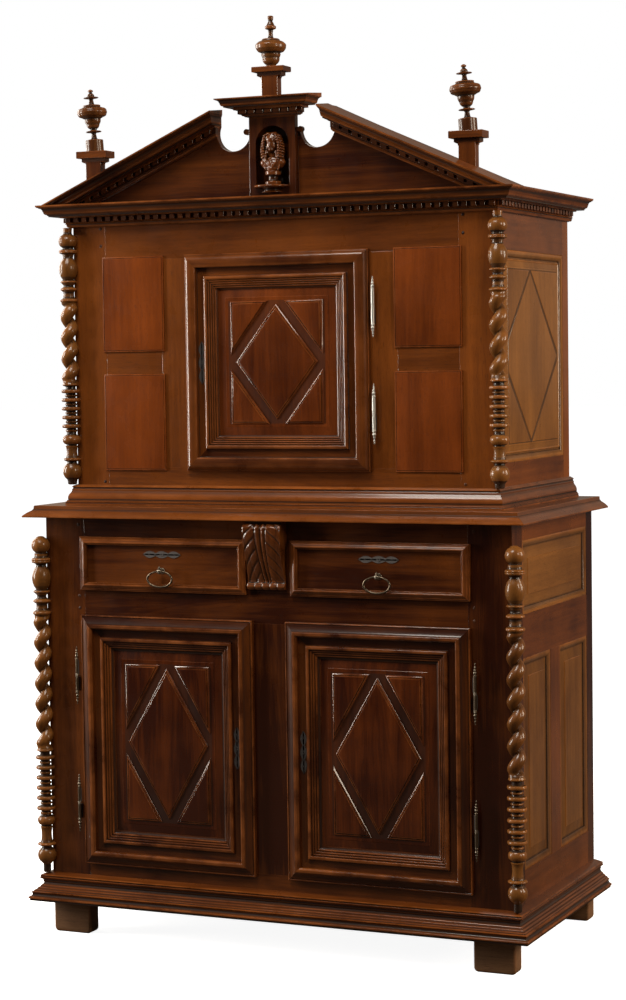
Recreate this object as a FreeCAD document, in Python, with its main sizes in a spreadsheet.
import FreeCAD, Part
import os
import re

import Sketcher

# A two-stage walnut cupboard: a lower case with two doors and two drawers, an upper case that stands
# back on it with one door, and a broken pediment. Millimetres, +Z up, the front faces -Y.
# The origin is on the floor, in the middle of the whole width and depth.

SIZES = {
    # the two cases
    "lower_width": (1294, "lower case, outside of its corner posts"),
    "lower_depth": (641, "lower case, front face to back"),
    "lower_height": (1016, "lower case, top of the feet to the waist slab"),
    "upper_width": (1173, "upper case, outside of its corner posts"),
    "upper_setback": (69, "how far the upper front stands behind the lower front"),
    "upper_height": (784, "upper case, waist slab to the top of the cornice"),
    "frame_thickness": (30, "front rails and muntins"),
    "side_thickness": (28, "side rails and muntins"),
    "board_thickness": (18, "floors, shelves, top and back boards"),
    "panel_thickness": (16, "panels of doors and sides"),
    "panel_recess": (6, "side panels, behind the face of their frame"),
    "panel_raise": (5, "raised field of a panel, above its border"),
    "lower_panel_border": (30, "sunk border of the lower side panels"),
    "upper_panel_border": (43, "sunk border of the upper side panels"),
    "rear_post_width": (60, "rear posts, along the width"),
    "tenon_length": (32, "tenons of rails and muntins"),
    "tenon_thickness": (10, "tenons of rails and muntins"),
    "tenon_shoulder": (9, "shoulder above and below a tenon"),
    "side_tenon_length": (26, "tenons of the side rails"),
    "back_board_count": (5, "back boards in each case"),
    # feet, slab and mouldings
    "foot_height": (88, "block feet"),
    "foot_width": (110, "block feet, along the width"),
    "foot_depth": (48, "block feet, along the depth"),
    "foot_rounding": (12, "rounded lower corners of the feet"),
    "base_height": (73, "base moulding"),
    "base_projection": (49, "base moulding, beyond the case"),
    "slab_thickness": (30, "waist slab"),
    "slab_overhang": (46, "waist slab, beyond the lower case"),
    "slab_chamfer": (10, "upper edge of the waist slab"),
    "upper_base_height": (52, "moulding under the upper case"),
    "upper_base_projection": (26, "moulding under the upper case, beyond the case"),
    "cornice_height": (58, "cornice"),
    "cornice_projection": (72, "cornice, beyond the case"),
    # lower front
    "lower_stile": (114, "lower front posts, along the width"),
    "lower_post_depth": (75, "lower front posts, along the depth"),
    "lower_rear_post": (51, "lower rear posts, along the depth"),
    "bottom_rail": (112, "rail under the lower doors"),
    "middle_rail": (81, "rail between doors and drawers"),
    "top_rail": (58, "rail above the drawers"),
    "drawer_opening": (124, "height of the drawer openings"),
    "door_muntin": (108, "muntin between the lower doors"),
    "drawer_divider": (140, "divider between the drawers"),
    # lower sides
    "side_bottom_rail": (157, "lower side, bottom rail"),
    "side_middle_rail": (108, "lower side, middle rail"),
    "side_top_rail": (46, "lower side, top rail"),
    "side_top_opening": (182, "lower side, height of the wide panel"),
    "side_front_panel": (210, "lower side, width of the front tall panel"),
    "side_muntin": (76, "lower side, muntin between the tall panels"),
    # upper front and sides
    "upper_stile": (94.5, "upper front posts, along the width"),
    "upper_post_depth": (52, "upper front posts, along the depth"),
    "upper_rear_post": (47, "upper rear posts, along the depth"),
    "upper_bottom_rail": (98, "rail under the upper door"),
    "upper_top_rail": (146, "rail above the upper door, behind the cornice"),
    "upper_middle_rail": (74, "short rails between the small panels"),
    "upper_middle_height": (235, "height of the small panels under the short rails"),
    "upper_door_half": (248, "half the width of the upper door opening"),
    "upper_muntin": (81, "muntins beside the upper door"),
    "upper_side_bottom_rail": (111, "upper side, bottom rail"),
    "upper_side_top_rail": (148, "upper side, top rail"),
    # doors and drawers
    "lip": (8, "overlap of door and drawer mouldings on the frame"),
    "running_gap": (1.5, "gap around doors and drawers in their openings"),
    "seat_gap": (0.3, "gap under and behind things that slide"),
    "door_thickness": (26, "stiles and rails of the doors"),
    "door_stile": (78, "stiles and rails of the doors, width"),
    "moulding_width": (92, "door moulding, lip to panel"),
    "moulding_height": (25, "door moulding, proud of the frame"),
    "drawer_front": (18, "drawer front, inside its opening"),
    "drawer_field": (6, "drawer front, proud of the frame"),
    "drawer_bead": (10, "moulding round the drawer front, proud of its field"),
    "drawer_bead_width": (21, "moulding round the drawer front, width"),
    "drawer_side": (12, "sides and back of the drawers"),
    "drawer_bottom": (9, "bottom of the drawers"),
    "drawer_length": (500, "drawer boxes, behind the front"),
    "runner_width": (36, "drawer runners"),
    "lower_shelf_height": (310, "lower shelf, above the floor of the case"),
    "upper_shelf_height": (268, "upper shelf, above the floor of the case"),
    "shelf_setback": (82, "shelves, behind the front face"),
    # ironwork
    "hinge_radius": (5.5, "hinge barrels"),
    "hinge_pin_radius": (2.5, "hinge pins"),
    "hinge_barrel": (44, "length of one half of a hinge barrel"),
    "hinge_finial": (32, "turned end of a hinge barrel"),
    "hinge_stand": (14, "hinge axis, in front of the frame"),
    "hinge_offset": (13, "hinge axis, outside the lip of the door"),
    "hinge_leaf": (2, "hinge leaves"),
    "hinge_bite": (14, "hinge leaves, depth in the wood"),
    "running_fit": (0.06, "radial clearance of pins and rings"),
    "lower_hinge_inset": (152, "lower door hinges, centre from the opening's end"),
    "upper_hinge_inset": (137, "upper door hinges, centre from the opening's end"),
    "lock_height": (90, "lock cases of the doors"),
    "lock_width": (60, "lock cases"),
    "lock_inset": (5, "lock cases and bolts of the doors, from the edge of the door"),
    "lock_depth": (18, "lock cases of the doors"),
    "bolt_length": (45, "lock bolts"),
    "bolt_height": (20, "lock bolts"),
    "bolt_thickness": (8, "lock bolts"),
    "bolt_inset": (6, "lock bolts, from the back of the door"),
    "escutcheon_length": (108, "escutcheons"),
    "escutcheon_width": (18, "escutcheons"),
    "escutcheon_thickness": (2, "escutcheons"),
    "groove_place": (0.51, "deep groove of the door moulding, its middle as a share of the width"),
    "groove_level": (0.4, "deep groove of the door moulding, its floor as a share of the height"),
    "drawer_lock_height": (36, "lock cases of the drawers"),
    "drawer_lock_depth": (12, "lock cases of the drawers"),
    "drawer_bolt_width": (22, "lock bolts of the drawers"),
    "drawer_bolt_throw": (12, "travel of the drawer bolts"),
    "drawer_escutcheon_drop": (35, "drawer escutcheon, below the opening's top"),
    "ring_width": (76, "drop rings"),
    "ring_height": (46, "drop rings"),
    "ring_wire": (2.75, "radius of the rings' wire"),
    "ring_stand": (15, "ring axis, in front of the drawer field"),
    "ring_drop": (77, "ring axis, below the opening's top"),
    "ring_post_radius": (6, "posts of the rings"),
    # corner columns
    "column_radius": (24.5, "corner columns, at their balls"),
    "column_offset": (11, "column axis, outside and in front of the corner"),
    "lower_column_head": (51, "plain corner above the lower columns"),
    # corbel
    "corbel_width": (104, "carved corbel"),
    "corbel_place": (-3, "middle of the corbel, right of the middle"),
    "corbel_drop": (175, "carved corbel, height under the slab"),
    "corbel_projection": (44, "carved corbel, at its top"),
    # pediment
    "rake_inset": (17.5, "foot of the rake, inside the cornice's tip"),
    "rake_slope": (23.85, "slope of the rakes in degrees"),
    "rake_end": (147, "upper end of each rake, from the middle"),
    "rake_board": (22, "top board of the rakes, thickness"),
    "rake_cove": (16, "cove under the rake board"),
    "rake_dentils": (13, "dentil band of the rakes"),
    "tympanum_setback": (5, "tympanum, behind the upper case's face"),
    "tympanum_thickness": (22, "tympanum boards"),
    "tympanum_crest": (9, "tympanum, above the rear edge of the rakes"),
    "tympanum_end": (13, "tympanum, short of the upper ends of the rakes"),
    "cutout_radius": (47, "round cut-outs beside the niche"),
    "cutout_place": (116.5, "centre of the cut-outs, from the middle"),
    "cutout_height": (167, "centre of the cut-outs, above the cornice"),
    "niche_block_width": (128, "niche block"),
    "niche_block_height": (198, "niche block"),
    "niche_block_stand": (13, "niche block, in front of the upper case's face"),
    "niche_width": (92, "niche"),
    "niche_floor": (28, "niche floor, above the cornice"),
    "niche_height": (150, "niche, floor to crown"),
    "niche_depth": (45, "niche"),
    "niche_wall": (4, "lining behind and beside the niche"),
    "bust_place": (4, "bust axis, behind the face of the niche block"),
    "ear_radius": (7.5, "ears of the niche block"),
    "ear_reach": (11, "ears, outside the niche block"),
    "ear_thickness": (12, "ears of the niche block"),
    "ear_height": (166, "ears of the niche block, above the cornice"),
    "bracket_thickness": (11, "shelf of the bracket"),
    "bracket_tier": (10, "lower tier of the bracket"),
    "entablature_height": (51, "entablature over the niche"),
    "entablature_flare": (66, "entablature, beyond the niche block"),
    "plinth_width": (44, "pediment plinths"),
    "plinth_depth": (26, "pediment plinths"),
    "side_cap": (28, "caps of the side plinths, height"),
    "centre_cap": (23, "cap of the centre plinth, height"),
    "cap_step": (10, "lower step of the caps, height"),
    "plinth_cap_width": (88, "caps of the plinths, width"),
    "plinth_cap_depth": (48, "caps of the plinths, depth"),
    "side_plinth_place": (519, "side plinths, from the middle"),
    "side_plinth_setback": (6, "side plinth axis, behind the upper case's face"),
    "side_plinth_height": (111, "side plinths, cornice to the cap"),
    "centre_plinth_height": (52, "centre plinth, entablature to the cap"),
    "centre_plinth_stand": (12, "centre plinth axis, in front of the upper case's face"),
    "side_finial_height": (162, "side finials"),
    "centre_finial_height": (127, "centre finial"),
    "finial_lean": (4, "lean of the old side finials in degrees"),
}

DOC = FreeCAD.newDocument("cupboard")
SHEET = DOC.addObject("Spreadsheet::Sheet", "Sizes")
for row, (alias, (number, note)) in enumerate(SIZES.items(), start=1):
    SHEET.set(f"A{row}", note)
    SHEET.set(f"B{row}", str(number))
    SHEET.setAlias(f"B{row}", alias)
DOC.recompute()

# Planes and levels that many pieces share.
FRONT = "((base_projection - lower_depth) / 2)"
BACK = "((base_projection + lower_depth) / 2)"
UPPER_FRONT = f"({FRONT} + upper_setback)"
CASE_Z = "foot_height"
SLAB_Z = "(foot_height + lower_height)"
UPPER_Z = f"({SLAB_Z} + slab_thickness)"
TOP_Z = f"({UPPER_Z} + upper_height)"
LOWER_HALF = "(lower_width / 2)"
UPPER_HALF = "(upper_width / 2)"
DOOR_Z = (f"({CASE_Z} + bottom_rail)", f"({SLAB_Z} - top_rail - drawer_opening - middle_rail)")
DRAWER_Z = (f"({SLAB_Z} - top_rail - drawer_opening)", f"({SLAB_Z} - top_rail)")
DOOR_X = ("(door_muntin / 2)", f"({LOWER_HALF} - lower_stile)")
DRAWER_X = ("(drawer_divider / 2)", f"({LOWER_HALF} - lower_stile)")
UPPER_DOOR_Z = (f"({UPPER_Z} + upper_bottom_rail)", f"({TOP_Z} - upper_top_rail)")

NODES = {}


# ---------------------------------------------------------------- expressions and plain shapes

def on_sheet(text):
    """The expression with every size's name led back to the spreadsheet."""
    return re.sub(r"[a-z_]+", lambda m: f"Sizes.{m[0]}" if m[0] in SIZES else m[0], str(text))


def bind(thing, place, text):
    thing.setExpression(place, on_sheet(text))


def size(text):
    """The present value of an expression on the sizes."""
    return float(SHEET.evalExpression(on_sheet(text)))


def mirrored(side, low, high):
    """The span low..high on the right side (1), or its mirror image on the left (-1)."""
    return (low, high) if side > 0 else (f"-({high})", f"-({low})")


def span(middle, width):
    return (f"({middle}) - ({width}) / 2", f"({middle}) + ({width}) / 2")


def block(name, x, y, z):
    """A board between two planes each way. Every plane is an expression on the sizes."""
    board = DOC.addObject("Part::Box", name)
    for prop, axis, (low, high) in (("Length", "x", x), ("Width", "y", y), ("Height", "z", z)):
        bind(board, f"Placement.Base.{axis}", low)
        bind(board, prop, f"({high}) - ({low})")
    return board


def place(thing, x, y, z, axis=(0, 0, 1), angle=0):
    rotation = FreeCAD.Rotation(FreeCAD.Vector(*axis), angle)
    thing.Placement = FreeCAD.Placement(FreeCAD.Vector(), rotation)
    for letter, text in (("x", x), ("y", y), ("z", z)):
        bind(thing, f"Placement.Base.{letter}", text)
    return thing


def rod(name, radius, length, x, y, z, axis=(0, 0, 1), angle=0, sweep=360):
    """A cylinder from the point x, y, z. It stands up unless it is turned."""
    bar = DOC.addObject("Part::Cylinder", name)
    bind(bar, "Radius", radius)
    bind(bar, "Height", length)
    bar.Angle = sweep
    return place(bar, x, y, z, axis, angle)


def ball(name, radius, x, y, z):
    sphere = DOC.addObject("Part::Sphere", name)
    bind(sphere, "Radius", radius)
    return place(sphere, x, y, z)


def fuse(name, pieces):
    joined = DOC.addObject("Part::MultiFuse", name)
    joined.Shapes = pieces
    joined.Refine = True
    return joined


def cut(name, base, tools):
    """base without the tools."""
    result = DOC.addObject("Part::Cut", name)
    result.Base = base
    if len(tools) == 1:
        result.Tool = tools[0]
    else:
        group = DOC.addObject("Part::Compound", f"{name}_tools")
        group.Links = tools
        result.Tool = group
    return result


def node(name, pieces):
    """Names one sub-part. Several pieces stay separate solids in one group."""
    if len(pieces) == 1:
        NODES[name] = pieces[0]
        return pieces[0]
    group = DOC.addObject("Part::Compound", name)
    group.Links = pieces
    NODES[name] = group
    return group


# ---------------------------------------------------------------- sketched bodies

def origin_plane(body, role):
    return next(f for f in body.Origin.OriginFeatures if f.Role == role)


def sketch(body, name, role):
    drawing = body.newObject("Sketcher::SketchObject", name)
    drawing.AttachmentSupport = [(origin_plane(body, role), "")]
    drawing.MapMode = "FlatFace"
    return drawing


def tie(drawing, edge, point, x, y):
    """Holds one point of an edge at x, y from the sketch's origin."""
    for kind, text in (("DistanceX", x), ("DistanceY", y)):
        rule = Sketcher.Constraint(kind, -1, 1, edge, point, size(text))
        bind(drawing, f"Constraints[{drawing.addConstraint(rule)}]", text)


def outline(drawing, points):
    """A closed outline of straight lines through points given as expressions."""
    corners = [FreeCAD.Vector(size(x), size(y), 0) for x, y in points]
    count = len(corners)
    first = drawing.GeometryCount
    for i in range(count):
        drawing.addGeometry(Part.LineSegment(corners[i], corners[(i + 1) % count]))
    for i in range(count):
        following = first + (i + 1) % count
        drawing.addConstraint(Sketcher.Constraint("Coincident", first + i, 2, following, 1))
    for i, (x, y) in enumerate(points):
        tie(drawing, first + i, 1, x, y)


def circle(drawing, x, y, radius):
    centre = FreeCAD.Vector(size(x), size(y), 0)
    ring = drawing.addGeometry(Part.Circle(centre, FreeCAD.Vector(0, 0, 1), size(radius)))
    rule = drawing.addConstraint(Sketcher.Constraint("Radius", ring, size(radius)))
    bind(drawing, f"Constraints[{rule}]", radius)
    tie(drawing, ring, 3, x, y)


def pad(body, name, drawing, length, side="Symmetric"):
    feature = body.newObject("PartDesign::Pad", name)
    feature.Profile = drawing
    feature.SideType = side
    bind(feature, "Length", length)
    return feature


def pocket(body, name, drawing):
    """Cuts the drawing through the whole body, both ways. The volume has to fall."""
    DOC.recompute()
    before = body.Shape.Volume
    feature = body.newObject("PartDesign::Pocket", name)
    feature.Profile = drawing
    feature.Type = "ThroughAll"
    feature.SideType = "Symmetric"
    DOC.recompute()
    if body.Shape.Volume >= before:
        raise ValueError(f"{name} cuts nothing")
    return feature


def prism(name, role, points, length, x="0", y="0", z="0", axis=(0, 0, 1), angle=0):
    """An outline on one plane of its own body, padded evenly to both sides of that plane."""
    body = DOC.addObject("PartDesign::Body", name)
    drawing = sketch(body, f"{name}_outline", role)
    outline(drawing, points)
    pad(body, f"{name}_pad", drawing, length)
    return place(body, x, y, z, axis, angle)


def mitred_length(name, profile, length, mitres, role, x, y, z, axis=(0, 0, 1), angle=0):
    """A length of moulding along its body's X, with the mitres cut off by triangles."""
    body = prism(name, "YZ_Plane", profile, length, x, y, z, axis, angle)
    if mitres:
        drawing = sketch(body, f"{name}_mitres", role)
        for triangle in mitres:
            outline(drawing, triangle)
        pocket(body, f"{name}_mitre_cut", drawing)
    return body


def turned(name, stations, x, y, z, axis=(0, 0, 1), angle=0):
    """A turned piece from its stations, which are heights and radii from the foot up."""
    body = DOC.addObject("PartDesign::Body", name)
    drawing = sketch(body, f"{name}_outline", "XZ_Plane")
    heights = [height for height, radius in stations]
    points = [("0", heights[0])] + [(radius, height) for height, radius in stations]
    outline(drawing, points + [("0", heights[-1])])
    feature = body.newObject("PartDesign::Revolution", f"{name}_turning")
    feature.Profile = drawing
    feature.ReferenceAxis = (drawing, ["V_Axis"])
    feature.Angle = 360
    return place(body, x, y, z, axis, angle)


# ---------------------------------------------------------------- framing

def member(name, x, y, z, along, ends="both", length="tenon_length"):
    """A rail or muntin along one axis, with its tenons: the joined piece and the tenons alone."""
    spans = {"x": x, "y": y, "z": z}
    thin = "x" if along == "y" else "y"
    wide = next(a for a in "xyz" if a not in (along, thin))
    stub = dict(spans)
    middle = f"(({spans[thin][0]}) + ({spans[thin][1]})) / 2"
    stub[thin] = span(middle, "tenon_thickness")
    low, high = spans[wide]
    stub[wide] = (f"({low}) + tenon_shoulder", f"({high}) - tenon_shoulder")
    tenons = []
    start, stop = spans[along]
    if ends in ("both", "low"):
        stub[along] = (f"({start}) - {length}", start)
        tenons.append(block(f"{name}_tenon_a", stub["x"], stub["y"], stub["z"]))
    if ends in ("both", "high"):
        stub[along] = (stop, f"({stop}) + {length}")
        tenons.append(block(f"{name}_tenon_b", stub["x"], stub["y"], stub["z"]))
    body = block(f"{name}_body", x, y, z)
    return fuse(name, [body] + tenons), tenons


def corner_posts(name, half, front, stile, depth, rear, z, tenons):
    """Four posts, mortised for the tenons of every rail that meets them."""
    posts = []
    for side, word in ((-1, "left"), (1, "right")):
        front_x = mirrored(side, f"{half} - {stile}", half)
        rear_x = mirrored(side, f"{half} - rear_post_width", half)
        posts.append(block(f"{name}_front_{word}", front_x, (front, f"{front} + {depth}"), z))
        posts.append(block(f"{name}_rear_{word}", rear_x, (f"{BACK} - {rear}", BACK), z))
    return node(name, [cut(f"{post.Name}_mortised", post, tenons) for post in posts])


def notched_board(name, half, y, z, posts):
    """A board between the side frames, notched round the corner posts."""
    inner = f"{half} - side_thickness"
    return cut(name, block(f"{name}_board", (f"-({inner})", inner), y, z), [posts])


def back_boards(name, half, z):
    """Upright boards between the rear posts."""
    inner = f"({half} - rear_post_width)"
    width = f"(2 * {inner} / back_board_count)"
    boards = []
    for i in range(SIZES["back_board_count"][0]):
        x = (f"-{inner} + {i} * {width}", f"-{inner} + {i + 1} * {width}")
        boards.append(block(f"{name}_{i + 1}", x, (f"{BACK} - board_thickness", BACK), z))
    return node(name, boards)


def side_panel(name, side, half, y, z, border):
    """A panel held in a side frame, with a raised field."""
    outer = f"{half} - panel_recess"
    x = mirrored(side, f"{outer} - panel_thickness", outer)
    field_x = mirrored(side, outer, f"{outer} + panel_raise")
    field_y = (f"({y[0]}) + {border}", f"({y[1]}) - {border}")
    field_z = (f"({z[0]}) + {border}", f"({z[1]}) - {border}")
    board = block(f"{name}_board", x, y, z)
    return fuse(name, [board, block(f"{name}_field", field_x, field_y, field_z)])


def moulding_round_case(name, profile, half, projection, front, z):
    """Three lengths of moulding along the front and sides of a case, mitred at the front corners."""
    length = f"2 * {half}"
    depth = f"({BACK} - {front})"
    reach = f"({projection} + 1)"

    def corner(end, sign):
        outer = f"{sign} * ({end} + {reach})"
        return [(f"{sign} * {end}", "0"), (outer, f"-{reach}"), (outer, "0")]

    middle = f"({depth}) / 2"
    front_piece = mitred_length(
        f"{name}_front", profile, f"{length} + 2 * {projection}",
        [corner(half, -1), corner(half, 1)], "XY_Plane", "0", front, z)
    pieces = [front_piece]
    for side, word in ((-1, "left"), (1, "right")):
        # The side length reaches forward by the projection, where its mitre starts.
        pieces.append(mitred_length(
            f"{name}_{word}", profile, f"{depth} + {projection}",
            [side_mitre(side, depth, projection)], "XY_Plane",
            f"{side} * {half}", f"{front} + ({depth} - {projection}) / 2", z,
            (0, 0, 1), 90 * side))
    return node(name, pieces)


def side_mitre(side, depth, projection):
    """The triangle cut from the front end of a side length, in that length's own frame."""
    end = f"({depth} + {projection}) / 2"
    tip = f"-{side} * ({end} + 1)"
    return [(f"-{side} * ({end} - {projection})", "0"), (tip, f"-({projection} + 1)"), (tip, "0")]


# ---------------------------------------------------------------- lower case

def feet():
    pieces = []
    outline_points = [
        (f"({LOWER_HALF} - foot_width)", "0"), (LOWER_HALF, "0"),
        (LOWER_HALF, "foot_height"), (f"({LOWER_HALF} - foot_width)", "foot_height")]
    for side, word in ((-1, "left"), (1, "right")):
        points = [(f"{side} * {x}", z) for x, z in outline_points]
        for end, y in (("front", f"{FRONT} + foot_depth / 2"), ("rear", f"{BACK} - foot_depth / 2")):
            name = f"foot_{end}_{word}"
            body = prism(name, "XZ_Plane", points, "foot_depth", "0", y, "0")
            DOC.recompute()
            low = [f"Edge{i + 1}" for i, edge in enumerate(body.Shape.Edges)
                   if edge.BoundBox.ZMax < 1 and edge.BoundBox.XLength < 1]
            whole = body.Tip
            rounding = body.newObject("PartDesign::Fillet", f"{name}_rounding")
            rounding.Base = (whole, low)
            bind(rounding, "Radius", "foot_rounding")
            pieces.append(body)
    node("feet", pieces)


BASE_PROFILE = [
    ("0", "0"), ("-base_projection", "0"), ("-base_projection", "0.23 * base_height"),
    ("-0.9 * base_projection", "0.27 * base_height"), ("-0.6 * base_projection", "0.41 * base_height"),
    ("-0.4 * base_projection", "0.55 * base_height"), ("-0.38 * base_projection", "0.66 * base_height"),
    ("-0.53 * base_projection", "0.79 * base_height"), ("-0.49 * base_projection", "0.88 * base_height"),
    ("0", "base_height")]

UPPER_BASE_PROFILE = [
    ("0", "0"), ("-upper_base_projection", "0"),
    ("-upper_base_projection", "0.19 * upper_base_height"),
    ("-0.77 * upper_base_projection", "0.27 * upper_base_height"),
    ("-0.38 * upper_base_projection", "0.79 * upper_base_height"),
    ("-0.35 * upper_base_projection", "0.94 * upper_base_height"), ("0", "upper_base_height")]

CORNICE_PROFILE = [
    ("0", "0"), ("-0.13 * cornice_projection", "0.1 * cornice_height"),
    ("-0.31 * cornice_projection", "0.24 * cornice_height"),
    ("-0.35 * cornice_projection", "0.43 * cornice_height"),
    ("-0.67 * cornice_projection", "0.47 * cornice_height"),
    ("-0.76 * cornice_projection", "0.6 * cornice_height"),
    ("-0.88 * cornice_projection", "0.76 * cornice_height"),
    ("-cornice_projection", "0.97 * cornice_height"), ("-cornice_projection", "cornice_height"),
    ("0", "cornice_height")]


def lower_case():
    y = (FRONT, f"{FRONT} + frame_thickness")
    x = (f"-{DOOR_X[1]}", DOOR_X[1])
    bottom, bottom_tenons = member("lower_bottom_rail", x, y, (CASE_Z, DOOR_Z[0]), "x")
    middle, middle_tenons = member("lower_middle_rail", x, y, (DOOR_Z[1], DRAWER_Z[0]), "x")
    top, top_tenons = member("lower_top_rail", x, y, (DRAWER_Z[1], SLAB_Z), "x")
    muntin, muntin_tenons = member(
        "door_muntin_piece", ("-door_muntin / 2", "door_muntin / 2"), y, DOOR_Z, "z")
    divider, divider_tenons = member(
        "drawer_divider_piece", ("-drawer_divider / 2", "drawer_divider / 2"), y, DRAWER_Z, "z")
    bolt_mortises = [drawer_bolt_mortise(side) for side in (-1, 1)]
    pieces = [
        muntin, divider,
        cut("lower_bottom_rail_mortised", bottom, muntin_tenons),
        cut("lower_middle_rail_mortised", middle, muntin_tenons + divider_tenons),
        cut("lower_top_rail_mortised", top, divider_tenons + bolt_mortises)]
    tenons = bottom_tenons + middle_tenons + top_tenons

    rail_y = (f"{FRONT} + lower_post_depth", f"{BACK} - lower_rear_post")
    tall_z = (f"{CASE_Z} + side_bottom_rail",
              f"{SLAB_Z} - side_top_rail - side_top_opening - side_middle_rail")
    wide_z = (f"{SLAB_Z} - side_top_rail - side_top_opening", f"{SLAB_Z} - side_top_rail")
    muntin_y = (f"{rail_y[0]} + side_front_panel", f"{rail_y[0]} + side_front_panel + side_muntin")
    panels = []
    for side, word in ((-1, "left"), (1, "right")):
        rail_x = mirrored(side, f"{LOWER_HALF} - side_thickness", LOWER_HALF)
        upright, upright_tenons = side_muntin(f"lower_side_muntin_{word}", rail_x, muntin_y, tall_z)
        pieces.append(upright)
        for level, z in (("bottom", (CASE_Z, tall_z[0])), ("middle", (tall_z[1], wide_z[0])),
                         ("top", (wide_z[1], SLAB_Z))):
            name = f"lower_side_{level}_rail_{word}"
            rail, rail_tenons = member(name, rail_x, rail_y, z, "y", length="side_tenon_length")
            tenons += rail_tenons
            pieces.append(cut(f"{name}_mortised", rail, upright_tenons) if level != "top" else rail)
        panels.append(side_panel(f"lower_side_wide_panel_{word}", side, LOWER_HALF, rail_y, wide_z,
                                 "lower_panel_border"))
        for place_word, panel_y in (("front", (rail_y[0], muntin_y[0])),
                                    ("rear", (muntin_y[1], rail_y[1]))):
            name = f"lower_side_{place_word}_panel_{word}"
            panels.append(side_panel(name, side, LOWER_HALF, panel_y, tall_z, "lower_panel_border"))
    hinge_cuts = fixed_leaves(("left_door", "right_door"))
    posts = corner_posts("lower_corner_posts", LOWER_HALF, FRONT, "lower_stile", "lower_post_depth",
                         "lower_rear_post", (CASE_Z, SLAB_Z), tenons + hinge_cuts)
    node("lower_case_frame", pieces)
    node("lower_side_panels", panels)
    back_boards("lower_back_boards", LOWER_HALF, (CASE_Z, SLAB_Z))
    inside = (f"{FRONT} + frame_thickness", f"{BACK} - board_thickness")
    floor = (f"{DOOR_Z[0]} - board_thickness", DOOR_Z[0])
    node("lower_floor", [notched_board("lower_floor_cut", LOWER_HALF, inside, floor, posts)])
    runners(inside)
    return posts


def side_muntin(name, x, y, z):
    """An upright between two side rails. Its tenons are as thick as theirs."""
    body = block(f"{name}_body", x, y, z)
    middle = f"(({x[0]}) + ({x[1]})) / 2"
    stub_x = span(middle, "tenon_thickness")
    stub_y = (f"{y[0]} + tenon_shoulder", f"{y[1]} - tenon_shoulder")
    low = block(f"{name}_tenon_a", stub_x, stub_y, (f"{z[0]} - side_tenon_length", z[0]))
    high = block(f"{name}_tenon_b", stub_x, stub_y, (z[1], f"{z[1]} + side_tenon_length"))
    return fuse(name, [body, low, high]), [low, high]


def runners(y):
    """Two runners under each drawer, from the middle rail to the back boards."""
    pieces = []
    z = (f"{DRAWER_Z[0]} - board_thickness", DRAWER_Z[0])
    for side, word in ((-1, "left"), (1, "right")):
        inner = mirrored(side, DRAWER_X[0], f"{DRAWER_X[0]} + runner_width")
        outer = mirrored(side, f"{DRAWER_X[1]} - runner_width", DRAWER_X[1])
        pieces.append(block(f"runner_inner_{word}", inner, y, z))
        pieces.append(block(f"runner_outer_{word}", outer, y, z))
    node("drawer_runners", pieces)


def corbel():
    """The carved console over the drawer divider, as its side outline."""
    low = f"({SLAB_Z} - corbel_drop)"
    shape = [(0, 0), (0.66, 0), (0.7, 0.05), (0.68, 0.1), (0.48, 0.13), (0.36, 0.25), (0.4, 0.42),
             (0.58, 0.62), (0.86, 0.8), (1, 0.89), (1, 0.95), (0.8, 1), (0, 1)]
    points = [(f"-{out} * corbel_projection", f"{up} * corbel_drop") for out, up in shape]
    node("carved_corbel", [prism("corbel", "YZ_Plane", points, "corbel_width", "corbel_place",
                                FRONT, low)])


def waist_slab():
    half = f"({LOWER_HALF} + slab_overhang)"
    front = f"({FRONT} - slab_overhang)"
    body = DOC.addObject("PartDesign::Body", "waist_slab_body")
    drawing = sketch(body, "waist_slab_outline", "XY_Plane")
    outline(drawing, [(f"-{half}", front), (half, front), (half, BACK), (f"-{half}", BACK)])
    pad(body, "waist_slab_pad", drawing, "slab_thickness", "One side")
    place(body, "0", "0", SLAB_Z)
    DOC.recompute()
    top = size(UPPER_Z)
    back = size(BACK)
    edges = [f"Edge{i + 1}" for i, edge in enumerate(body.Shape.Edges)
             if edge.BoundBox.ZMin > top - 1 and edge.BoundBox.YMin < back - 1]
    whole = body.Tip
    chamfer = body.newObject("PartDesign::Chamfer", "waist_slab_chamfer")
    chamfer.Base = (whole, edges)
    bind(chamfer, "Size", "slab_chamfer")
    node("waist_slab", [body])


# ---------------------------------------------------------------- corner columns

def column(name, side, half, front, bottom, length, foot, head):
    """A turned column, notched over the corner of its case. foot and head are its plain and beaded
    ends, as heights from the bottom and from the top with radii in shares of the ball's radius.
    Between them the twisted shaft is as long as the case leaves room for."""
    stations = [(str(height), f"{share} * column_radius") for height, share in foot]
    stations += [(f"({length}) - {depth}", f"{share} * column_radius") for depth, share in head]
    shaft = turned(f"{name}_turning", stations, f"{side} * ({half} + column_offset)",
                   f"{front} - column_offset", bottom)
    notch_x = mirrored(side, f"{half} - 3 * column_radius", half)
    notch = block(f"{name}_notch", notch_x, (front, f"{front} + 3 * column_radius"),
                  (f"{bottom} - 1", f"{bottom} + {length} + 1"))
    return cut(name, shaft, [notch])


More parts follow.
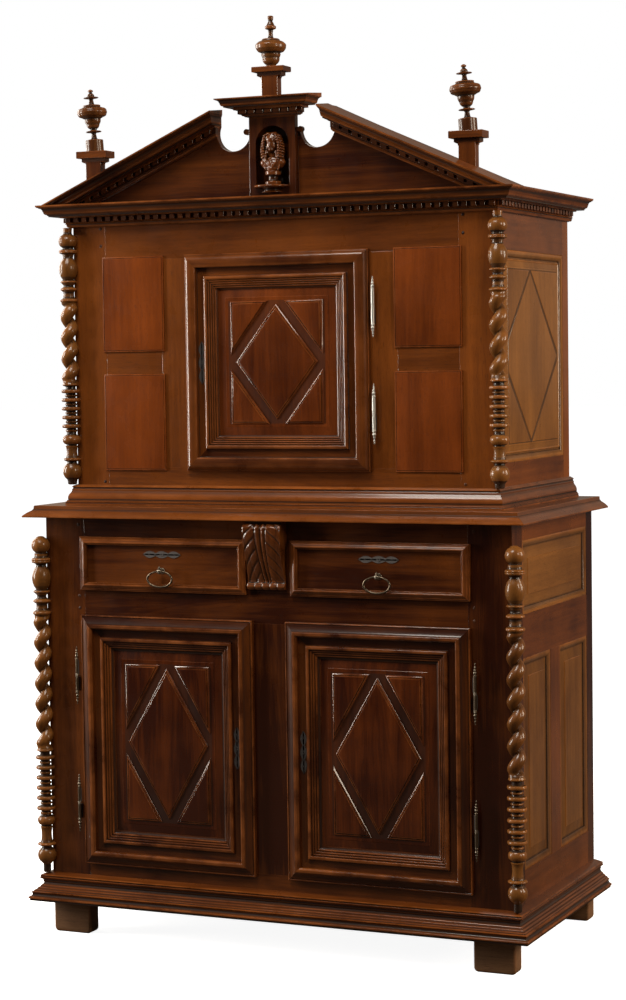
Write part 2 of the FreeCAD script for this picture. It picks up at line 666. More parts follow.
def columns():
    foot = [(0, 0.5), (22, 0.5), (27, 0.75), (45, 1), (63, 0.75), (68, 0.55), (72, 0.9), (78, 0.9),
            (82, 0.62), (120, 0.62), (126, 0.8), (138, 0.92), (150, 0.8), (158, 0.6)]
    beads = []
    for i in range(6):
        middle = 171 + 27 * i
        beads += [(middle - 8, 0.62), (middle - 4, 0.84), (middle + 4, 0.84), (middle + 8, 0.62)]
    shaft_foot = [(326, 0.62), (334, 0.92)]
    head = [(212, 0.92), (206, 0.84), (198, 0.84), (194, 0.64), (178, 0.64), (174, 0.84), (168, 0.84),
            (154, 0.62), (148, 0.82), (142, 0.8), (122, 0.95), (96, 0.95), (76, 0.7), (70, 1),
            (58, 1), (54, 0.7), (46, 0.75), (24, 1), (4, 0.7), (0, 0.4)]
    lower_length = f"({SLAB_Z} - {CASE_Z} - base_height - lower_column_head)"
    pieces = []
    for side, word in ((-1, "left"), (1, "right")):
        pieces.append(column(f"lower_column_{word}", side, LOWER_HALF, FRONT,
                             f"({CASE_Z} + base_height)", lower_length,
                             foot + beads + shaft_foot, head))
    node("lower_columns", pieces)

    foot = [(0, 0.5), (8, 0.5), (13, 0.75), (35, 0.98), (56, 0.75), (60, 0.55), (64, 0.86), (69, 0.86),
            (72, 0.62), (100, 0.62), (106, 0.8), (117, 0.9), (130, 0.8), (137, 0.6)]
    beads = []
    for i in range(5):
        middle = 154 + 23 * i
        beads += [(middle - 8, 0.62), (middle - 4, 0.84), (middle + 4, 0.84), (middle + 8, 0.62)]
    shaft_foot = [(256, 0.62), (262, 0.9)]
    head = [(197, 0.9), (192, 0.82), (187, 0.82), (184, 0.62), (167, 0.62), (163, 0.8), (158, 0.8),
            (150, 0.66), (143, 0.8), (138, 0.75), (122, 0.95), (92, 0.95), (78, 0.7), (66, 0.95),
            (58, 0.95), (54, 0.7), (36, 0.98), (16, 0.7), (13, 0.45), (0, 0.45)]
    bottom = f"({UPPER_Z} + upper_base_height)"
    upper_length = f"(upper_height - upper_base_height - cornice_height)"
    pieces = []
    for side, word in ((-1, "left"), (1, "right")):
        pieces.append(column(f"upper_column_{word}", side, UPPER_HALF, UPPER_FRONT, bottom,
                             upper_length, foot + beads + shaft_foot, head))
    node("upper_columns", pieces)


# ---------------------------------------------------------------- upper case

def upper_case():
    y = (UPPER_FRONT, f"{UPPER_FRONT} + frame_thickness")
    inner = f"({UPPER_HALF} - upper_stile)"
    bottom, bottom_tenons = member(
        "upper_bottom_rail_piece", (f"-{inner}", inner), y, (UPPER_Z, UPPER_DOOR_Z[0]), "x")
    top, top_tenons = member(
        "upper_top_rail_piece", (f"-{inner}", inner), y, (UPPER_DOOR_Z[1], TOP_Z), "x")
    tenons = bottom_tenons + top_tenons
    short_z = (f"{UPPER_DOOR_Z[0]} + upper_middle_height",
               f"{UPPER_DOOR_Z[0]} + upper_middle_height + upper_middle_rail")
    muntin_tenons = []
    pieces = []
    panels = []
    hinge_cuts = fixed_leaves(("upper_door",))
    for side, word in ((-1, "left"), (1, "right")):
        muntin_x = mirrored(side, "upper_door_half", "upper_door_half + upper_muntin")
        panel_x = mirrored(side, "upper_door_half + upper_muntin", inner)
        muntin, stubs = member(f"upper_muntin_{word}", muntin_x, y, UPPER_DOOR_Z, "z")
        short, short_tenons = member(f"upper_short_rail_{word}", panel_x, y, short_z, "x")
        muntin_tenons += stubs
        tenons += short_tenons
        cutters = short_tenons + (hinge_cuts if side > 0 else [])
        pieces += [cut(f"upper_muntin_{word}_mortised", muntin, cutters), short]
        for level, z in (("low", (UPPER_DOOR_Z[0], short_z[0])),
                         ("high", (short_z[1], UPPER_DOOR_Z[1]))):
            panels.append(front_panel(f"front_panel_{level}_{word}", panel_x, z))
    pieces += [cut("upper_bottom_rail_mortised", bottom, muntin_tenons),
               cut("upper_top_rail_mortised", top, muntin_tenons)]

    rail_y = (f"{UPPER_FRONT} + upper_post_depth", f"{BACK} - upper_rear_post")
    side_z = (f"{UPPER_Z} + upper_side_bottom_rail", f"{TOP_Z} - upper_side_top_rail")
    side_panels = []
    for side, word in ((-1, "left"), (1, "right")):
        rail_x = mirrored(side, f"{UPPER_HALF} - side_thickness", UPPER_HALF)
        for level, z in (("bottom", (UPPER_Z, side_z[0])), ("top", (side_z[1], TOP_Z))):
            name = f"upper_side_{level}_rail_{word}"
            rail, rail_tenons = member(name, rail_x, rail_y, z, "y", length="side_tenon_length")
            tenons += rail_tenons
            pieces.append(rail)
        side_panels.append(side_panel(f"upper_side_panel_{word}", side, UPPER_HALF, rail_y, side_z,
                                      "upper_panel_border"))
    posts = corner_posts("upper_corner_posts", UPPER_HALF, UPPER_FRONT, "upper_stile",
                         "upper_post_depth", "upper_rear_post", (UPPER_Z, TOP_Z), tenons)
    node("upper_case_frame", pieces)
    node("upper_front_panels", panels)
    node("upper_side_panels", side_panels)
    back_boards("upper_back_boards", UPPER_HALF, (UPPER_Z, TOP_Z))
    inside = (f"{UPPER_FRONT} + frame_thickness", f"{BACK} - board_thickness")
    floor = (f"{UPPER_DOOR_Z[0]} - board_thickness", UPPER_DOOR_Z[0])
    top_z = (f"{TOP_Z} - board_thickness", TOP_Z)
    node("upper_floor_and_top", [
        notched_board("upper_floor_cut", UPPER_HALF, inside, floor, posts),
        notched_board("upper_top_cut", UPPER_HALF, inside, top_z, posts)])
    return posts


def front_panel(name, x, z):
    """A small panel of the upper front: a tongue in the frame and a raised field with a lip."""
    y = (UPPER_FRONT, f"{UPPER_FRONT} + panel_thickness")
    field_x = (f"{x[0]} - lip", f"{x[1]} + lip")
    field_z = (f"{z[0]} - lip", f"{z[1]} + lip")
    field_y = (f"{UPPER_FRONT} - panel_raise", UPPER_FRONT)
    return fuse(name, [block(f"{name}_board", x, y, z), block(f"{name}_field", field_x, field_y, field_z)])


def shelves(lower_posts, upper_posts):
    """One shelf in each case, notched round the posts that hold it."""
    pieces = []
    for name, half, front, posts, height in (
            ("lower_shelf", LOWER_HALF, FRONT, lower_posts, f"{DOOR_Z[0]} + lower_shelf_height"),
            ("upper_shelf", UPPER_HALF, UPPER_FRONT, upper_posts,
             f"{UPPER_DOOR_Z[0]} + upper_shelf_height")):
        y = (f"{front} + shelf_setback", f"{BACK} - board_thickness")
        z = (height, f"{height} + board_thickness")
        pieces.append(notched_board(name, half, y, z, posts))
    node("shelves", pieces)


# ---------------------------------------------------------------- doors

# Cross-sections as shares of the width, from the outer edge inwards, and of the height.
DOOR_MOULDING = [(0, 0), (0, 0.5), (0.06, 0.84), (0.16, 1), (0.3, 0.92), (0.41, "groove_level"),
                 (0.61, "groove_level"), (0.65, 0.7), (0.74, 0.74), (0.8, 0.5), (0.87, 0.45),
                 (0.92, 0.3), (1, 0.2), (1, 0)]
DRAWER_MOULDING = [(0, 0), (0, 0.5), (0.1, 0.6), (0.3, 1), (0.6, 0.95), (0.8, 0.7), (1, 0.7), (1, 0)]


def door(name, x, z, front, hinged, hinge_inset):
    """A framed door in its opening. hinged is 1 where the hinges are at its right, -1 at its left."""
    frame_x = (f"{x[0]} + running_gap", f"{x[1]} - running_gap")
    frame_z = (f"{z[0]} + running_gap", f"{z[1]} - running_gap")
    y = (front, f"{front} + door_thickness")
    rail_x = (f"{frame_x[0]} + door_stile", f"{frame_x[1]} - door_stile")
    low, low_tenons = member(f"{name}_bottom_rail", rail_x, y,
                             (frame_z[0], f"{frame_z[0]} + door_stile"), "x")
    high, high_tenons = member(f"{name}_top_rail", rail_x, y,
                               (f"{frame_z[1]} - door_stile", frame_z[1]), "x")
    left = block(f"{name}_left_stile_body", (frame_x[0], rail_x[0]), y, frame_z)
    right = block(f"{name}_right_stile_body", (rail_x[1], frame_x[1]), y, frame_z)
    stiles = [cut(f"{name}_left_stile", left, low_tenons + high_tenons),
              cut(f"{name}_right_stile", right, low_tenons + high_tenons)]
    node(f"{name}_frame", stiles + [low, high])
    panel_z = (f"{frame_z[0]} + door_stile", f"{frame_z[1]} - door_stile")
    board = block(f"{name}_panel_board", rail_x, (front, f"{front} + panel_thickness"), panel_z)
    reach = "moulding_width - lip"
    field = block(f"{name}_panel_field", (f"{x[0]} + {reach}", f"{x[1]} - ({reach})"),
                  (f"{front} - panel_raise", front), (f"{z[0]} + {reach}", f"{z[1]} - ({reach})"))
    node(f"{name}_panel", [fuse(f"{name}_panel_piece", [board, field])])
    lip_x = (f"{x[0]} - lip", f"{x[1]} + lip")
    lip_z = (f"{z[0]} - lip", f"{z[1]} + lip")
    lengths = framing_moulding(f"{name}_moulding", DOOR_MOULDING, "moulding_width",
                               "moulding_height", lip_x, lip_z, front)
    side = "right" if hinged > 0 else "left"
    leaves = hinges(name, x, z, front, hinged, hinge_inset)
    lengths[side] = cut(f"{name}_moulding_let_in", lengths[side], leaves)
    node(f"{name}_moulding", list(lengths.values()))
    lock(name, x, z, front, hinged)


def framing_moulding(name, shape, across, proud, x, z, front):
    """Four mitred lengths round a rectangle, by the side they stand on."""
    profile = [(f"-{out} * {proud}", f"{share} * {across}") for share, out in shape]
    middle_x = f"(({x[0]}) + ({x[1]})) / 2"
    middle_z = f"(({z[0]}) + ({z[1]})) / 2"
    width = f"(({x[1]}) - ({x[0]}))"
    height = f"(({z[1]}) - ({z[0]}))"
    pieces = {}
    for word, length, px, pz, angle in (
            ("bottom", width, middle_x, z[0], 0), ("left", height, x[0], middle_z, 90),
            ("top", width, middle_x, z[1], 180), ("right", height, x[1], middle_z, 270)):
        mitres = []
        for sign in (-1, 1):
            end = f"{sign} * {length} / 2"
            past = f"{sign} * ({length} / 2 + 1)"
            inner = f"{sign} * ({length} / 2 - {across} - 1)"
            mitres.append([(past, "-1"), (past, f"{across} + 1"), (inner, f"{across} + 1"), (end, "0")])
        pieces[word] = mitred_length(f"{name}_{word}", profile, length, mitres, "XZ_Plane",
                                     px, front, pz, (0, 1, 0), angle)
    return pieces


def hinge_axis(x, front, hinged):
    edge = x[1] if hinged > 0 else x[0]
    return f"({edge} + {hinged} * (lip + hinge_offset))", f"({front} - hinge_stand)"


def hinge_levels(z, inset):
    return (("low", f"({z[0]} + {inset})"), ("high", f"({z[1]} - {inset})"))


HINGED_DOORS = {
    "upper_door": (("-upper_door_half", "upper_door_half"), UPPER_DOOR_Z, UPPER_FRONT, 1,
              "upper_hinge_inset"),
    "left_door": ((f"-{DOOR_X[1]}", f"-{DOOR_X[0]}"), DOOR_Z, FRONT, -1, "lower_hinge_inset"),
    "right_door": (DOOR_X, DOOR_Z, FRONT, 1, "lower_hinge_inset"),
}


def fixed_leaves(names):
    """The leaves that are let into the case, from the hinge axis into the wood behind it."""
    leaves = []
    for name in names:
        x, z, front, hinged, inset = HINGED_DOORS[name]
        axis_x, axis_y = hinge_axis(x, front, hinged)
        for level, middle in hinge_levels(z, inset):
            leaves.append(block(f"{name}_{level}_fixed_leaf", span(axis_x, "hinge_leaf"),
                                (axis_y, f"{front} + hinge_bite"),
                                (f"{middle} - hinge_barrel", middle)))
    FIXED_LEAVES.extend(leaves)
    return leaves


FIXED_LEAVES = []
FIXED_HALVES = []


def hinges(name, x, z, front, hinged, inset):
    """Two fiche hinges: a fixed lower barrel with its pin, and an upper barrel on the door."""
    axis_x, axis_y = hinge_axis(x, front, hinged)
    edge = x[1] if hinged > 0 else x[0]
    leaf_edge = f"{edge} + {hinged} * (lip - hinge_bite)"
    leaf_x = (leaf_edge, axis_x) if hinged > 0 else (axis_x, leaf_edge)
    halves = []
    leaves = []
    for level, middle in hinge_levels(z, inset):
        tag = f"{name}_{level}"
        leaf = next(f for f in FIXED_LEAVES if f.Name == f"{tag}_fixed_leaf")
        barrel = rod(f"{tag}_lower_barrel", "hinge_radius", "hinge_barrel", axis_x, axis_y,
                     f"{middle} - hinge_barrel")
        pin = rod(f"{tag}_pin", "hinge_pin_radius", "1.8 * hinge_barrel", axis_x, axis_y,
                  f"{middle} - hinge_barrel")
        tip = hinge_tip(f"{tag}_lower_tip", axis_x, axis_y, f"{middle} - hinge_barrel", -1)
        FIXED_HALVES.append(fuse(f"{tag}_fixed_half", [barrel, pin, tip, leaf]))
        seat = f"({middle} + seat_gap)"
        upper = rod(f"{tag}_upper_barrel", "hinge_radius", "hinge_barrel", axis_x, axis_y, seat)
        moving_leaf = block(f"{tag}_moving_leaf", leaf_x, span(axis_y, "hinge_leaf"),
                            (seat, f"{seat} + hinge_barrel"))
        tip = hinge_tip(f"{tag}_upper_tip", axis_x, axis_y, f"{seat} + hinge_barrel", 1)
        bore = rod(f"{tag}_bore", "hinge_pin_radius + running_fit", "0.85 * hinge_barrel",
                   axis_x, axis_y, f"{middle} - 1")
        joined = fuse(f"{tag}_moving_blank", [upper, moving_leaf, tip])
        halves.append(cut(f"{tag}_moving_half", joined, [bore]))
        leaves.append(moving_leaf)
    node(f"{name}_hinge_halves", halves)
    return leaves


def hinge_tip(name, x, y, z, up):
    """The turned end of a barrel: a neck and a knob."""
    neck = rod(f"{name}_neck", "0.55 * hinge_radius", "hinge_finial", x, y,
               z if up > 0 else f"{z} - hinge_finial")
    knob = ball(f"{name}_knob", "0.85 * hinge_radius", x, y, f"{z} + {up} * 0.4 * hinge_finial")
    return fuse(name, [neck, knob])


def lock(name, x, z, front, hinged):
    """A rim lock on the back of the free stile, its bolt, and the escutcheon on the front."""
    reach = "running_gap + lock_inset"
    free = f"({x[0]} + {reach})" if hinged > 0 else f"({x[1]} - ({reach}))"
    middle = f"(({z[0]}) + ({z[1]})) / 2"
    back = f"({front} + door_thickness)"

    def inward(start, stop):
        low, high = f"{free} + {start}", f"{free} + {stop}"
        return (low, high) if hinged > 0 else (f"{free} - ({stop})", f"{free} - ({start})")

    case = block(f"{name}_lock_case", inward("0", "lock_width"), (back, f"{back} + lock_depth"),
                 span(middle, "lock_height"))
    channel = block(f"{name}_bolt_channel", inward("-1", "bolt_length + 2"),
                    (f"{back} + bolt_inset - seat_gap",
                     f"{back} + bolt_inset + bolt_thickness + seat_gap"),
                    span(middle, "bolt_height + 2 * seat_gap"))
    bolt = block(f"{name}_bolt_bar", inward("0", "bolt_length"),
                 (f"{back} + bolt_inset", f"{back} + bolt_inset + bolt_thickness"),
                 span(middle, "bolt_height"))
    groove = "lip - groove_place * moulding_width"
    groove_x = f"({x[0]} - ({groove}))" if hinged > 0 else f"({x[1]} + {groove})"
    seat = f"({front} - groove_level * moulding_height)"
    plate = block(f"{name}_escutcheon", span(groove_x, "min(escutcheon_width; 0.2 * moulding_width)"),
                  (f"{seat} - escutcheon_thickness", seat), span(middle, "escutcheon_length"))
    node(f"{name}_lock", [cut(f"{name}_lock_box", case, [channel]), plate])
    node(f"{name}_bolt", [bolt])


# ---------------------------------------------------------------- drawers

def drawer_bolt_mortise(side):
    """The hole in the top rail that takes a drawer's bolt."""
    middle = f"{side} * ({DRAWER_X[0]} + {DRAWER_X[1]}) / 2"
    back = f"{FRONT} + drawer_front"
    return block(f"bolt_mortise_{'right' if side > 0 else 'left'}",
                 span(middle, "drawer_bolt_width + 3"),
                 (f"{back} + 1.4", f"{back} + drawer_lock_depth - 1.4"),
                 (f"{DRAWER_Z[1]} - 1", f"{DRAWER_Z[1]} + drawer_bolt_throw + 2"))


def drawer(name, side):
    """A lipped front with its moulding, a box behind it, a lock, and a drop ring on its post."""
    x = mirrored(side, DRAWER_X[0], DRAWER_X[1])
    z = DRAWER_Z
    middle = f"{side} * ({DRAWER_X[0]} + {DRAWER_X[1]}) / 2"
    fit_x = (f"{x[0]} + running_gap", f"{x[1]} - running_gap")
    fit_z = (f"{z[0]} + seat_gap", f"{z[1]} - running_gap")
    lip_x = (f"{x[0]} - lip", f"{x[1]} + lip")
    lip_z = (f"{z[0]} - lip", f"{z[1]} + lip")
    back = f"({FRONT} + drawer_front)"
    face = f"({FRONT} - drawer_field)"
    board = fuse(f"{name}_front_board", [
        block(f"{name}_front_body", fit_x, (FRONT, back), fit_z),
        block(f"{name}_front_field", lip_x, (face, FRONT), lip_z)])
    rim = framing_moulding(f"{name}_front_moulding", DRAWER_MOULDING, "drawer_bead_width",
                           "drawer_bead", lip_x, lip_z, face)
    node(f"{name}_front", [board] + list(rim.values()))

    end = f"({back} + drawer_length)"
    top = f"({fit_z[1]} - running_gap)"
    left = block(f"{name}_left_side", (fit_x[0], f"{fit_x[0]} + drawer_side"), (back, end),
                 (fit_z[0], top))
    right = block(f"{name}_right_side", (f"{fit_x[1]} - drawer_side", fit_x[1]), (back, end),
                  (fit_z[0], top))
    inner_x = (f"{fit_x[0]} + drawer_side", f"{fit_x[1]} - drawer_side")
    rear = block(f"{name}_back_board", inner_x, (f"{end} - drawer_side", end),
                 (f"{fit_z[0]} + drawer_bottom", top))
    bottom = block(f"{name}_bottom_board", inner_x, (back, end),
                   (fit_z[0], f"{fit_z[0]} + drawer_bottom"))
    node(f"{name}_box", [left, right, rear, bottom])

    case_z = (f"{fit_z[1]} - drawer_lock_height", fit_z[1])
    case = block(f"{name}_lock_case", span(middle, "lock_width"),
                 (back, f"{back} + drawer_lock_depth"), case_z)
    bolt_y = (f"{back} + 2", f"{back} + 2 + bolt_thickness")
    bolt_x = span(middle, "drawer_bolt_width")
    channel = block(f"{name}_bolt_channel", span(middle, "drawer_bolt_width + 2 * seat_gap"),
                    (f"{bolt_y[0]} - seat_gap", f"{bolt_y[1]} + seat_gap"),
                    (f"{case_z[0]} + 4", f"{case_z[1]} + 1"))
    plate_z = f"{z[1]} - drawer_escutcheon_drop"
    plate = block(f"{name}_escutcheon", span(middle, "escutcheon_length"),
                  (f"{face} - escutcheon_thickness", face), span(plate_z, "escutcheon_width"))
    node(f"{name}_lock", [cut(f"{name}_lock_box", case, [channel]), plate])
    node(f"{name}_bolt", [block(f"{name}_bolt_bar", bolt_x, bolt_y,
                                (f"{case_z[0]} + 4 + seat_gap", case_z[1]))])
    drop_ring(name, middle, face, f"({z[1]} - ring_drop)")


def drop_ring(name, middle, face, axis_z):
    """An oval ring that hangs in the eye of a pointed post."""
    axis_y = f"({face} - ring_stand)"
    stem = rod(f"{name}_post_stem", "ring_post_radius", "ring_stand", middle, face, axis_z, (1, 0, 0), 90)
    head = ball(f"{name}_post_head", "ring_post_radius", middle, axis_y, axis_z)
    eye = rod(f"{name}_post_eye", "ring_wire + running_fit", "4 * ring_post_radius",
              f"{middle} - 2 * ring_post_radius", axis_y, axis_z, (0, 1, 0), 90)
    node(f"{name}_ring_post", [cut(f"{name}_post", fuse(f"{name}_post_blank", [stem, head]), [eye])])
    bend = "(ring_height / 2 - ring_wire)"
    straight = f"(ring_width / 2 - ring_height / 2)"
    centre_z = f"({axis_z} - {bend})"
    arcs = []
    for side, word in ((-1, "left"), (1, "right")):
        arc = DOC.addObject("Part::Torus", f"{name}_ring_{word}")
        bind(arc, "Radius1", bend)
        bind(arc, "Radius2", "ring_wire")
        arc.Angle3 = 180
        turn = FreeCAD.Rotation(FreeCAD.Vector(1, 0, 0), 90)
        spin = FreeCAD.Rotation(FreeCAD.Vector(0, 0, 1), -90 * side)
        arc.Placement = FreeCAD.Placement(FreeCAD.Vector(), turn.multiply(spin))
        for letter, text in (("x", f"{middle} + {side} * {straight}"), ("y", axis_y), ("z", centre_z)):
            bind(arc, f"Placement.Base.{letter}", text)
        arcs.append(arc)
    bars = [rod(f"{name}_ring_bar_{word}", "ring_wire", f"2 * {straight}", f"{middle} - {straight}",
                axis_y, f"{centre_z} + {sign} * {bend}", (0, 1, 0), 90)
            for word, sign in (("low", -1), ("high", 1))]
    node(f"{name}_ring", [fuse(f"{name}_ring_piece", arcs + bars)])


# ---------------------------------------------------------------- pediment

RAKE_START = f"({UPPER_HALF} + cornice_projection - rake_inset)"
RAKE_FRONT = f"({UPPER_FRONT} - cornice_projection + 1)"
TYMPANUM_FRONT = f"({UPPER_FRONT} + tympanum_setback)"
BLOCK_FRONT = f"({UPPER_FRONT} - niche_block_stand)"
SLOPE = "tan(rake_slope * 1deg)"
STEEP = "cos(rake_slope * 1deg)"
BLOCK_TOP = f"({TOP_Z} + niche_block_height)"


def rake_strip(name, side, over, under, front):
    """One layer of a rake, between two lines that run parallel to its top."""
    rise = f"({RAKE_START} - rake_end) * {SLOPE}"
    drops = [f"({depth}) / {STEEP}" for depth in (over, under)]
    feet_x = [f"({RAKE_START} - ({drop}) / {SLOPE})" for drop in drops]
    points = [("rake_end", f"{rise} - {drops[0]}"), (feet_x[0], "0"), (feet_x[1], "0"),
              ("rake_end", f"{rise} - {drops[1]}")]
    points = [(f"{side} * {x}", z) for x, z in points]
    return prism(name, "XZ_Plane", points, f"{TYMPANUM_FRONT} - {front}", "0",
                 f"({front} + {TYMPANUM_FRONT}) / 2", TOP_Z)


def rakes():
    pieces = []
    boards = {}
    for side, word in ((-1, "left"), (1, "right")):
        name = f"raking_cornice_{word}"
        cove = "rake_board + rake_cove"
        boards[side] = rake_strip(f"{name}_board", side, "0", "rake_board", RAKE_FRONT)
        layers = [
            boards[side],
            rake_strip(f"{name}_cove", side, "rake_board", cove, f"({RAKE_FRONT} + 20)"),
            rake_strip(f"{name}_dentils", side, cove, f"{cove} + rake_dentils", f"({RAKE_FRONT} + 46)")]
        pieces.append(fuse(name, layers))
    node("raking_cornices", pieces)
    return boards


def tympanum():
    """Two boards behind the rakes, each with a round cut-out beside the niche block."""
    inner = "(niche_block_width / 2)"
    end = "(rake_end + tympanum_end)"
    rise = f"({RAKE_START} - {end}) * {SLOPE} + tympanum_crest"
    boards = {}
    for side, word in ((-1, "left"), (1, "right")):
        points = [(inner, "0"), (RAKE_START, "0"), (end, rise), (end, "cutout_height"),
                  (inner, "cutout_height")]
        points = [(f"{side} * {x}", z) for x, z in points]
        body = prism(f"tympanum_{word}", "XZ_Plane", points, "tympanum_thickness", "0",
                     f"{TYMPANUM_FRONT} + tympanum_thickness / 2", TOP_Z)
        drawing = sketch(body, f"tympanum_{word}_cutout", "XZ_Plane")
        circle(drawing, f"{side} * cutout_place", "cutout_height", "cutout_radius")
        pocket(body, f"tympanum_{word}_cut", drawing)
        boards[side] = body
    node("tympanum", list(boards.values()))
    return boards


def niche():
    """The block with its arched niche and ears, the half-round bracket and the bust."""
    half = "niche_block_width / 2"
    floor = f"({TOP_Z} + niche_floor)"
    spring = f"({floor} + niche_height - niche_width / 2)"
    rear = f"({BLOCK_FRONT} + niche_depth)"
    lining = "(niche_width / 2 + niche_wall)"
    masses = [
        block("niche_board", (f"-{half}", half), (BLOCK_FRONT, TYMPANUM_FRONT), (TOP_Z, BLOCK_TOP)),
        block("niche_backing", (f"-{half}", half),
              (TYMPANUM_FRONT, f"{TYMPANUM_FRONT} + tympanum_thickness"),
              (TOP_Z, f"{TOP_Z} + cutout_height")),
        block("niche_lining", (f"-{lining}", lining), (TYMPANUM_FRONT, f"{rear} + niche_wall"),
              (TOP_Z, f"{floor} + niche_height + niche_wall"))]
    for side, word in ((-1, "left"), (1, "right")):
        ear_x = f"({half} + ear_reach)"
        ear_z = f"({TOP_Z} + ear_height)"
        masses.append(rod(f"ear_{word}", "ear_radius", "ear_thickness", f"{side} * {ear_x}",
                          TYMPANUM_FRONT, ear_z, (1, 0, 0), 90))
        masses.append(block(f"ear_stalk_{word}", mirrored(side, half, ear_x),
                            (f"{TYMPANUM_FRONT} - ear_thickness", TYMPANUM_FRONT),
                            span(ear_z, "0.7 * 2 * ear_radius")))
    hollow_y = (f"{BLOCK_FRONT} - 1", rear)
    straight = block("niche_hollow", ("-niche_width / 2", "niche_width / 2"), hollow_y, (floor, spring))
    crown = rod("niche_crown", "niche_width / 2", "niche_depth + 1", "0", rear, spring, (1, 0, 0), 90)
    node("niche_block", [cut("niche", fuse("niche_blank", masses), [straight, crown])])
    upper = rod("bracket_shelf", "niche_width / 2", "bracket_thickness", "0", BLOCK_FRONT,
                f"{floor} - bracket_thickness", (0, 0, 1), 180, 180)
    lower = rod("bracket_tier", "0.29 * niche_width", "bracket_tier", "0", BLOCK_FRONT,
                f"{floor} - bracket_thickness - bracket_tier", (0, 0, 1), 180, 180)
    node("niche_bracket", [fuse("bracket", [upper, lower])])
    bust(floor)


def bust(floor):
    """A small bust on a socle, with plain rounded masses for shoulders, wig and head."""
    middle = f"({BLOCK_FRONT} + bust_place)"
    socle = turned("bust_socle", [("0", "17"), ("9", "17"), ("12", "11"), ("24", "12"), ("27", "18"),
                                  ("33", "18"), ("40", "10")], "0", middle, floor)
    masses = [socle]
    for name, x, y, z, height in (("shoulders", 35, 18, 19, 49), ("wig", 27, 20, 34, 100),
                                  ("head", 17, 21, 24, 104)):
        mass = DOC.addObject("Part::Ellipsoid", f"bust_{name}")
        bind(mass, "Radius1", z)
        bind(mass, "Radius2", x)
        bind(mass, "Radius3", y)
        masses.append(place(mass, "0", middle, f"{floor} + {height}"))
    node("bust", [fuse("bust_piece", masses)])


def entablature():
    """The small entablature: a bed moulding, a dentil band and a flared top."""
    half = "(niche_block_width / 2)"
    rear = TYMPANUM_FRONT
    steps = [(0, 0.24, 0.12), (0.24, 0.53, 0.26)]
    layers = []
    for i, (low, high, out) in enumerate(steps):
        reach = f"({out} * entablature_flare)"
        layers.append(block(f"entablature_step_{i}", (f"-({half} + {reach})", f"{half} + {reach}"),
                            (f"{BLOCK_FRONT} - {reach}", rear),
                            (f"{BLOCK_TOP} + {low} * entablature_height",
                             f"{BLOCK_TOP} + {high} * entablature_height")))
    crown = DOC.addObject("Part::Wedge", "entablature_crown")
    near = "0.55 * entablature_flare"
    bind(crown, "Xmin", f"-({half} + {near})")
    bind(crown, "Xmax", f"{half} + {near}")
    bind(crown, "X2min", f"-({half} + entablature_flare)")
    bind(crown, "X2max", f"{half} + entablature_flare")
    bind(crown, "Ymin", "0")
    bind(crown, "Ymax", "0.47 * entablature_height")
    bind(crown, "Zmin", f"-({rear})")
    bind(crown, "Z2min", f"-({rear})")
    bind(crown, "Zmax", f"-({BLOCK_FRONT} - {near})")
    bind(crown, "Z2max", f"-({BLOCK_FRONT} - entablature_flare)")
    place(crown, "0", "0", f"{BLOCK_TOP} + 0.53 * entablature_height", (1, 0, 0), 90)
    node("centre_entablature", [fuse("entablature", layers + [crown])])


SIDE_FINIAL = [
    (0, 0.6), (0.19, 0.6), (0.2, 0.2), (0.29, 0.16), (0.31, 0.52), (0.33, 0.52), (0.35, 0.22),
    (0.47, 0.48), (0.54, 0.62), (0.6, 0.97), (0.66, 1), (0.71, 0.8), (0.74, 0.6), (0.76, 0.16),
    (0.85, 0.16), (0.86, 0.5), (0.875, 0.5), (0.9, 0.24), (0.96, 0.12), (0.98, 0.16), (1, 0.06)]
CENTRE_FINIAL = [
    (0, 0.28), (0.03, 0.32), (0.12, 0.42), (0.24, 0.58), (0.29, 0.66), (0.32, 0.88), (0.39, 1),
    (0.47, 0.92), (0.52, 0.64), (0.56, 0.24), (0.65, 0.14), (0.72, 0.16), (0.745, 0.38), (0.77, 0.24),
    (0.84, 0.26), (0.91, 0.1), (0.96, 0.18), (1, 0.08)]
FINIAL_SWELL = "(plinth_cap_width * 0.44)"


def plinth(name, x, y, low, cap_z, cap):
    """A post with a thick cap on a smaller step."""
    cap_x = span(x, "plinth_cap_width")
    post = block(f"{name}_post", span(x, "plinth_width"), span(y, "plinth_depth"), (low, cap_z))
    neck = block(f"{name}_neck", span(x, "0.75 * plinth_cap_width"), span(y, "0.7 * plinth_cap_depth"),
                 (cap_z, f"{cap_z} + cap_step"))
    slab = block(f"{name}_slab", cap_x, span(y, "plinth_cap_depth"),
                 (f"{cap_z} + cap_step", f"{cap_z} + {cap}"))
    return fuse(name, [post, neck, slab])


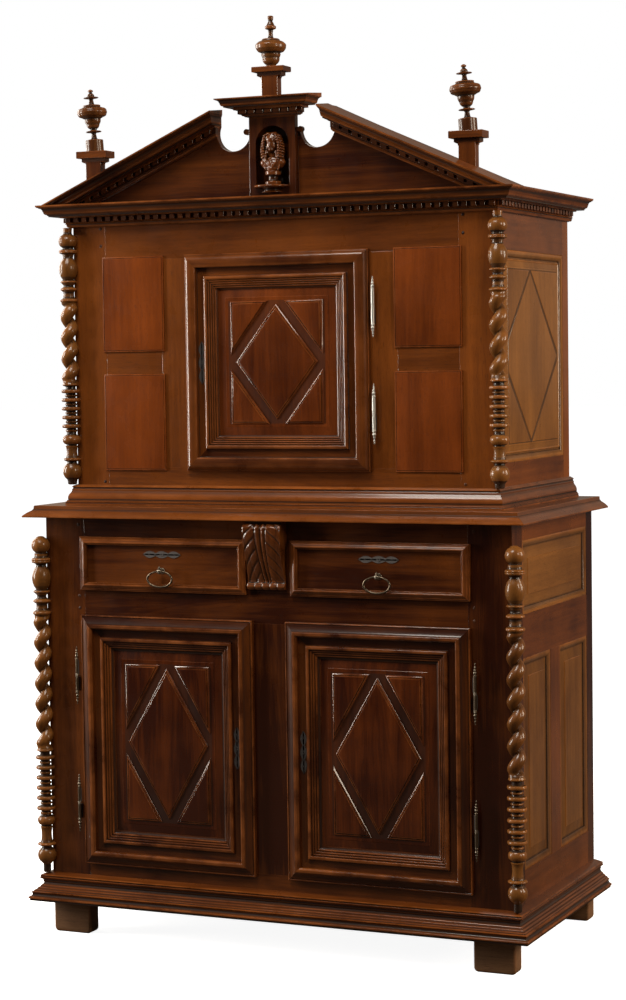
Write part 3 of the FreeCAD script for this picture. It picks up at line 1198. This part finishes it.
def plinths_and_finials(rake_boards, tympana):
    plinth_y = f"({UPPER_FRONT} + side_plinth_setback)"
    cap_z = f"({TOP_Z} + side_plinth_height)"
    plinths = []
    finials = []
    for side, word in ((-1, "left"), (1, "right")):
        x = f"{side} * side_plinth_place"
        low = f"{TOP_Z} + ({RAKE_START} - side_plinth_place) * {SLOPE} - rake_board / 2"
        whole = plinth(f"side_plinth_blank_{word}", x, plinth_y, low, cap_z, "side_cap")
        post = cut(f"side_plinth_{word}", whole, [rake_boards[side], tympana[side]])
        plinths.append(post)
        stations = [(f"{up} * side_finial_height", f"{out} * {FINIAL_SWELL}") for up, out in SIDE_FINIAL]
        sink = f"{SIDE_FINIAL[0][1]} * {FINIAL_SWELL} * sin(finial_lean * 1deg)"
        finial = turned(f"side_finial_{word}", stations, x, plinth_y, f"{cap_z} + side_cap - {sink}",
                        (0, -1, 0), SIZES["finial_lean"][0])
        bind(finial, "Placement.Rotation.Angle", "finial_lean")
        finials.append(cut(f"side_finial_scribed_{word}", finial, [post]))
    middle_y = f"({UPPER_FRONT} - centre_plinth_stand)"
    centre_low = f"({BLOCK_TOP} + entablature_height)"
    centre_cap = f"({centre_low} + centre_plinth_height)"
    plinths.append(plinth("centre_plinth", "0", middle_y, centre_low, centre_cap, "centre_cap"))
    stations = [(f"{up} * centre_finial_height", f"{out} * {FINIAL_SWELL}") for up, out in CENTRE_FINIAL]
    finials.append(turned("centre_finial", stations, "0", middle_y, f"{centre_cap} + centre_cap"))
    node("pediment_plinths", plinths)
    node("finials", finials)


# ---------------------------------------------------------------- the whole cupboard

def check_and_export():
    DOC.recompute()
    for thing in DOC.Objects:
        if "Invalid" in thing.State or "Error" in thing.State:
            raise ValueError(f"{thing.Name} failed: {thing.State}")
    os.makedirs("parts", exist_ok=True)
    for name, thing in NODES.items():
        shape = thing.Shape
        if shape.isNull() or not shape.isValid() or not shape.Solids:
            raise ValueError(f"{name} has no valid shape")
    for name, thing in NODES.items():
        thing.Label = name
        thing.Shape.exportStep(f"parts/{name}.step")


def main():
    feet()
    moulding_round_case("base_moulding", BASE_PROFILE, LOWER_HALF, "base_projection", FRONT, CASE_Z)
    lower_posts = lower_case()
    corbel()
    waist_slab()
    moulding_round_case("upper_base_moulding", UPPER_BASE_PROFILE, UPPER_HALF,
                        "upper_base_projection", UPPER_FRONT, UPPER_Z)
    upper_posts = upper_case()
    shelves(lower_posts, upper_posts)
    columns()
    moulding_round_case("cornice", CORNICE_PROFILE, UPPER_HALF, "cornice_projection", UPPER_FRONT,
                        f"({TOP_Z} - cornice_height)")
    for name, (x, z, front, hinged, inset) in HINGED_DOORS.items():
        door(name, x, z, front, hinged, inset)
    node("fixed_hinge_halves", FIXED_HALVES)
    drawer("left_drawer", -1)
    drawer("right_drawer", 1)
    boards = rakes()
    tympana = tympanum()
    niche()
    entablature()
    plinths_and_finials(boards, tympana)
    check_and_export()


main()
